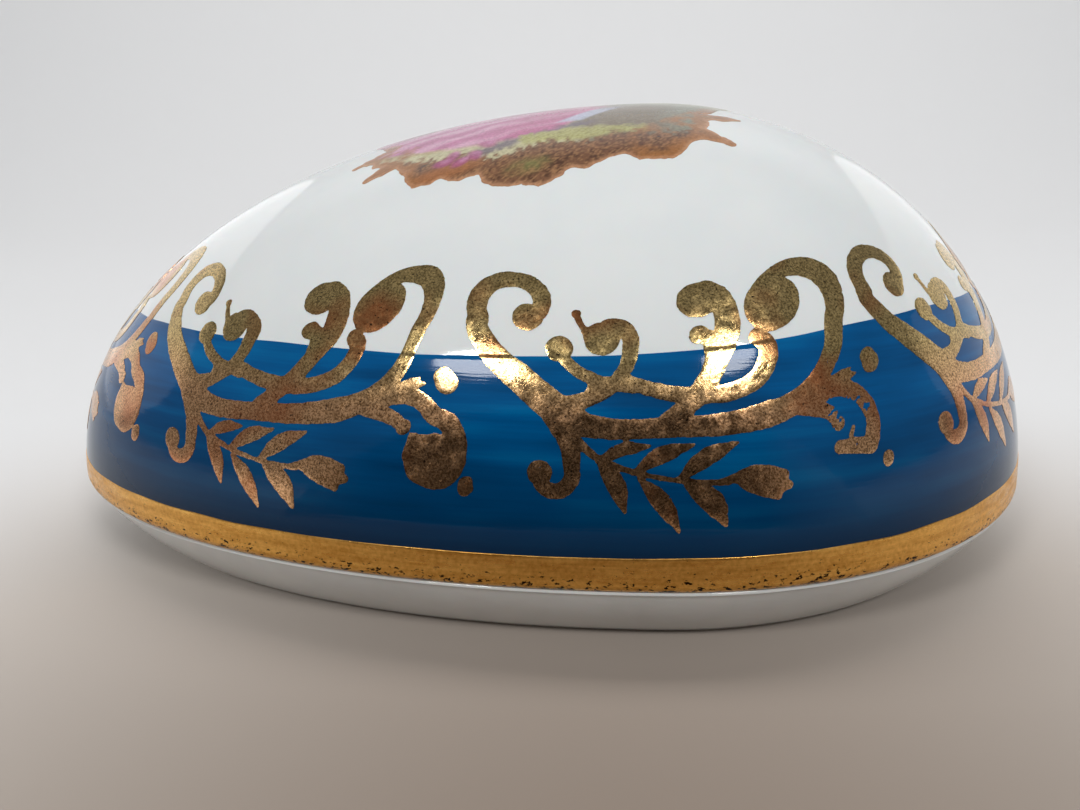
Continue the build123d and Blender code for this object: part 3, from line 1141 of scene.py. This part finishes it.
@dataclass(frozen=True)
class PalePaper:
    """Matt paper sweep under and behind the box, with a painted shadow in front of it."""

    far: str = "#ececec"
    middle: str = "#c9c1b9"
    # painted shadow: the warm grey-brown laid on the floor just in front of the box
    near: str = "#8a7b6e"
    painted_shadow_centre: tuple[float, float, float] = (0.008, -0.075, 0.0)
    reach: float = 0.14

    def material(self) -> bpy.types.Material:
        """The finish: pale, with a painted shadow that makes it warmer and darker towards the front, round a
        point just before the box.
        """
        n = Nodes("pale_paper_sweep")
        place = n.add("ShaderNodeTexCoord").outputs["Object"]
        # painted shadow: the floor grows paler with distance from the shadow's centre
        away = n.add("ShaderNodeVectorMath", {"operation": "DISTANCE"}, _0=place, _1=self.painted_shadow_centre)
        eased = {"interpolation_type": "SMOOTHSTEP"}
        fade = n.add("ShaderNodeMapRange", eased, _0=away.outputs[1], _2=self.reach).outputs[0]
        tone = n.ramp(fade, ((0.0, self.near), (0.5, self.middle), (1.0, self.far)))
        n.set(n.surface, Base_Color=tone, Roughness=0.8, Specular_IOR_Level=0.0)
        return n.material


def dress(piece: bpy.types.Object, material: bpy.types.Material, body: str) -> bpy.types.Object:
    """Gives a piece its material and its body, and logs it."""
    piece.data.materials.clear()
    piece.data.materials.append(material)
    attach(piece, body)
    LOG.info("%s: %d faces on %s", piece.name, len(piece.data.polygons), body)
    return piece


# ---------------------------------------------------------------- sub-assemblies


@dataclass
class Lid:
    """The domed lid: porcelain shell, blue ground, gilt rim, gold scroll border and the painted picture."""

    wall_inset: float = 3.4
    mouth_round: float = 0.4
    scroll: Scroll = field(default_factory=Scroll)
    picture: PaintedPicture = field(default_factory=PaintedPicture)
    border: tuple[Placing, ...] = (
        Placing(-76.5, gather=0.5),
        Placing(-41.2, rise=-0.4, gather=1.0),
        Placing(-6.0, end=MotifEnd.CUT),
        Placing(29.3, rise=1.6, lean=0.06),
        Placing(63.0, rise=1.2, gather=0.3),
        Placing(96.7, rise=0.4),
        Placing(130.4, gather=0.4),
        Placing(164.1),
    )

    def shell(self) -> bpy.types.Object:
        """The porcelain: outer dome, rounded rim, flat seat, rounded mouth and inner dome."""
        s = np.arange(COLUMNS)[None, :] * EGG.perimeter() / COLUMNS
        t = EGG.rim_angle(s)
        crown = np.linspace(EGG.half_width * np.pi / 2 - 0.5, LID.round_radius, 72)
        rounding = np.linspace(0.7, -0.456, 9)
        outside = LID.at(s, np.concatenate([crown, rounding])[:, None])
        r, z = self.mouth_round, EGG.seat_z
        inner_radius = EGG.half_width - self.wall_inset
        a = np.radians(np.linspace(90, 0, 6))[:, None]
        mouth = EGG.position(t, 0 * a, self.wall_inset - r + r * np.cos(a))
        mouth[..., 2] = z + r - r * np.sin(a) + 0 * t
        start = np.arcsin(r / inner_radius)
        phi = np.linspace(start, np.pi / 2 - 0.012, 56)[1:, None]
        inside = EGG.position(t, phi, self.wall_inset)
        rings = np.concatenate([outside, mouth, inside])
        return poled_body("lid_porcelain", rings, z + EGG.half_width - LID.inset, z + inner_radius)

    def blue(self) -> bpy.types.Object:
        """The blue ground, from under the gilt band to its wavy upper edge."""
        s = np.arange(720) * EGG.perimeter() / 720
        return rim_skin("lid_blue", 2.0 + 0 * s, LID.blue_top(s), BLUE_LIFT, 0.05, 46)

    def gilt_rim(self) -> bpy.types.Object:
        """The gilt band, from round the lid's lower edge to its wavy upper edge."""
        s = np.arange(900) * EGG.perimeter() / 900
        return rim_skin("lid_gilt_rim", -0.12 + brush_waver(s, 0.04, 14), LID.gilt_top(s), 0.09, 0.04, 16)

    def build(self) -> None:
        """Builds and dresses the lid's pieces."""
        porcelain = GlazedPorcelain().material()
        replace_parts(dress(self.shell(), porcelain, "lid"), "lid_shell")
        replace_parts(dress(self.blue(), BlueGround().material(), "lid"), "lid_blue_ground")
        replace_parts(dress(self.gilt_rim(), GiltRim().material(), "lid"), "lid_gilt_band")
        gold = FiredGold().material()
        for number, placing in enumerate(self.border, 1):
            piece = self.scroll.build(f"gilt_scroll_{number}", placing, 100 + number)
            dress(piece, gold, "lid")
        dress(self.picture.build("crown_picture"), PaintedEnamel().material(), "lid")


@dataclass
class Dish:
    """The low white dish: a flared flank on a foot ring, a flat seat, and a gallery round a well."""

    top_z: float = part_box("base_dish")[1].z / MM
    seat_inset: float = 0.6
    belly: tuple[float, float] = (2.8, 3.3)
    foot_inset: float = 6.2
    foot_inner: float = 8.8
    recess_z: float = 0.9
    gallery_inset: float = 4.1
    well_top: float = 6.3
    well_floor: float = 7.4
    floor_z: float = 2.9

    def outline(self) -> Array:
        """The section from the underside's middle over foot, flank, seat and gallery to the well's middle.

        The flank is a parabola through the foot, the belly and the seat's edge.
        """
        seat = EGG.seat_z
        flank = np.polyfit([0, self.belly[1], seat], [self.foot_inset, self.belly[0], self.seat_inset], 2)
        z = np.linspace(0.42, seat - 0.3, 16)
        side = np.stack([np.polyval(flank, z), np.ones_like(z), z], -1)
        under = [[self.foot_inner, k, self.recess_z] for k in (0.0, 0.2, 0.45, 0.7, 0.9)]
        slope = self.well_floor - self.well_top
        wall_x = np.linspace(self.well_top + 0.15, self.well_floor - 0.25, 8)
        wall_z = self.top_z - 0.7 - (wall_x - self.well_top) / slope * (self.top_z - self.floor_z - 2.6)
        return np.concatenate([
            under,
            arc(self.foot_inner + 0.5, self.recess_z - 0.5, 0.5, 90, 180),
            arc(self.foot_inner - 0.4, 0.4, 0.4, 0, -90),
            arc(self.foot_inset + 0.45, 0.45, 0.45, -90, -160),
            side,
            arc(self.seat_inset + 0.3, seat - 0.3, 0.3, 180, 90),
            arc(self.gallery_inset - 0.2, seat + 0.2, 0.2, -90, 0, 4),
            arc(self.gallery_inset + 0.7, self.top_z - 0.7, 0.7, 180, 90),
            arc(self.well_top - 0.7, self.top_z - 0.7, 0.7, 90, 0),
            np.stack([wall_x, np.ones_like(wall_x), wall_z], -1),
            arc(self.well_floor + 1.8, self.floor_z + 2.0, 2.0, 180, 270, 9),
            [[self.well_floor + 2.0, k, self.floor_z] for k in (0.9, 0.7, 0.45, 0.2, 0.0)],
        ])  # fmt: skip

    def build(self) -> None:
        """Builds and dresses the dish."""
        # painted shade: the dish's porcelain is greyer than the lid's, for the shadow under the lid's
        # overhang
        porcelain = GlazedPorcelain("#d4d5d3", "#cbccca").material()
        piece = carried_body("dish_porcelain", self.outline())
        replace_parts(dress(piece, porcelain, "dish"), "base_dish")


# ---------------------------------------------------------------- studio


@dataclass
class Studio:
    """A pale paper sweep, soft lamps and the camera in front of the box, a little above its rim."""

    eye: tuple[float, float, float] = (4.77, -93.84, 38.03)
    forward: tuple[float, float, float] = (-0.04650, 0.95924, -0.27874)
    roll: float = 0.01835
    lens: float = 28.68

    def sweep(self) -> None:
        """The floor, curving up into the backdrop 0.5 m behind: a flat run, a quarter circle and a wall."""
        a = np.radians(np.linspace(0, 90, 24))
        y = np.concatenate([[-900.0, -300, -100, 0, 100], 300 + 300 * np.sin(a), [600.0]])
        z = np.concatenate([[0.0] * 5, 300 - 300 * np.cos(a), [1200.0]])
        x = np.array([-1500.0, 0.0, 1500.0])
        points = np.stack(np.broadcast_arrays(x[None, :], y[:, None], z[:, None]), -1).reshape(-1, 3)
        i, j = np.meshgrid(np.arange(len(y) - 1), np.arange(2), indexing="ij")
        corner = (i * 3 + j).ravel()
        quads = np.stack([corner, corner + 1, corner + 4, corner + 3], -1)
        floor = mesh_object("paper_sweep", points, [quads])
        floor.data.materials.append(PalePaper().material())

    def lamp(self, name: str, azimuth: float, elevation: float, far: float, size: tuple[float, float],
             power: float, aim: tuple[float, float, float] = (0.005, -0.015, 0.02), mirrored: bool = True,
             lights: bool = True) -> None:
        """An oval soft lamp aimed at the box.

        Args:
            name: the lamp's name.
            azimuth: degrees from the front, towards the right.
            elevation: degrees over the floor.
            far: distance from the box in metres.
            size: width and height in metres.
            power: watts.
            aim: the point it looks at, from which far is measured.
            mirrored: whether gloss shows it.
            lights: whether it lights anything, or is only a reflector for the gold to mirror.
        """
        data = bpy.data.lights.new(name, "AREA")
        data.shape, data.size, data.size_y = "ELLIPSE", size[0], size[1]
        data.energy = power
        az, el = np.radians(azimuth), np.radians(elevation)
        place = Vector((np.sin(az) * np.cos(el), -np.cos(az) * np.cos(el), np.sin(el))) * far
        lamp = bpy.data.objects.new(name, data)
        lamp.visible_glossy, lamp.visible_diffuse, lamp.visible_camera = mirrored, lights, False
        facing = (-place).to_track_quat("-Z", "Y").to_matrix().to_4x4()
        lamp.matrix_world = Matrix.Translation(place + Vector(aim)) @ facing
        bpy.context.scene.collection.objects.link(lamp)

    def card(self) -> None:
        """A dark card low in front of the box, behind the camera's sight: the gold and glaze mirror it."""
        a = np.radians(np.linspace(-66, 66, 16))
        low = np.stack([6 + 76 * np.sin(a), -30 - 76 * np.cos(a), 0 * a + 1], -1)
        high = low + np.stack([0 * a, 0 * a, 58 * (1 - np.abs(a / a[0]) ** 2.5)], -1)
        points = np.concatenate([low, high])
        j = np.arange(15)
        card = mesh_object("dark_card", points, [np.stack([j, j + 16, j + 17, j + 1], -1)])
        n = Nodes("dark_felt_card")
        place = n.add("ShaderNodeSeparateXYZ", _0=n.add("ShaderNodeTexCoord").outputs["Object"]).outputs[0]
        side = n.add("ShaderNodeMath", {"operation": "ABSOLUTE"}, _0=place).outputs[0]
        stops = ((0.0, "#12100e"), (0.5, "#3a3531"), (1.0, "#ffffff"))
        tone = n.ramp(n.remap(side, 0.032, 0.072, 0.0, 1.0), stops)
        n.set(n.surface, Base_Color=tone, Roughness=0.9)
        card.data.materials.append(n.material)
        card.visible_camera = False
        card.visible_diffuse = False
        card.visible_shadow = False

    def camera(self) -> None:
        """The camera, from its eye point, sight line and roll."""
        sight = Vector(self.forward).normalized()
        right = sight.cross(Vector((0, 0, 1))).normalized()
        up = right.cross(sight)
        c, s = np.cos(self.roll), np.sin(self.roll)
        x_axis, y_axis = right * c - up * s, right * s + up * c
        data = bpy.data.cameras.new("camera")
        data.lens, data.sensor_width, data.clip_start = self.lens, 36.0, 0.005
        data.dof.use_dof = False
        camera = bpy.data.objects.new("camera", data)
        axes = Matrix((x_axis, y_axis, -sight)).transposed().to_4x4()
        camera.matrix_world = Matrix.Translation(Vector(self.eye) * MM) @ axes
        bpy.context.scene.collection.objects.link(camera)
        bpy.context.scene.camera = camera

    def build(self) -> None:
        """Builds the stage, lamps, world and camera."""
        self.sweep()
        self.card()
        self.lamp("left_window", -30, 38, 0.42, (0.100, 0.056), 0.42)
        self.lamp("right_window", 28, 39, 0.42, (0.120, 0.060), 0.51)
        self.lamp("left_reflector", -122, 14, 0.5, (0.60, 0.30), 0.26, lights=False)
        self.lamp("right_reflector", 122, 14, 0.5, (0.60, 0.30), 0.22, lights=False)
        self.lamp("overhead", 180, 70, 0.9, (1.2, 0.5), 0.72, mirrored=False)
        self.lamp("backdrop", 0, 55, 0.8, (1.6, 0.3), 3.6, (0.0, 0.6, 0.10), mirrored=False)
        world = bpy.data.worlds.new("soft_room")
        world.use_nodes = True
        world.node_tree.nodes["Background"].inputs[0].default_value = linear("#eceef2")
        world.node_tree.nodes["Background"].inputs[1].default_value = 0.25
        bpy.context.scene.world = world
        bpy.context.scene.view_settings.view_transform = "Standard"
        self.camera()


def main() -> None:
    """Builds the box and its studio."""
    logging.basicConfig(level=logging.INFO, format="%(name)s %(message)s")
    Studio().build()
    Dish().build()
    Lid().build()


if __name__ == "__main__":
    main()
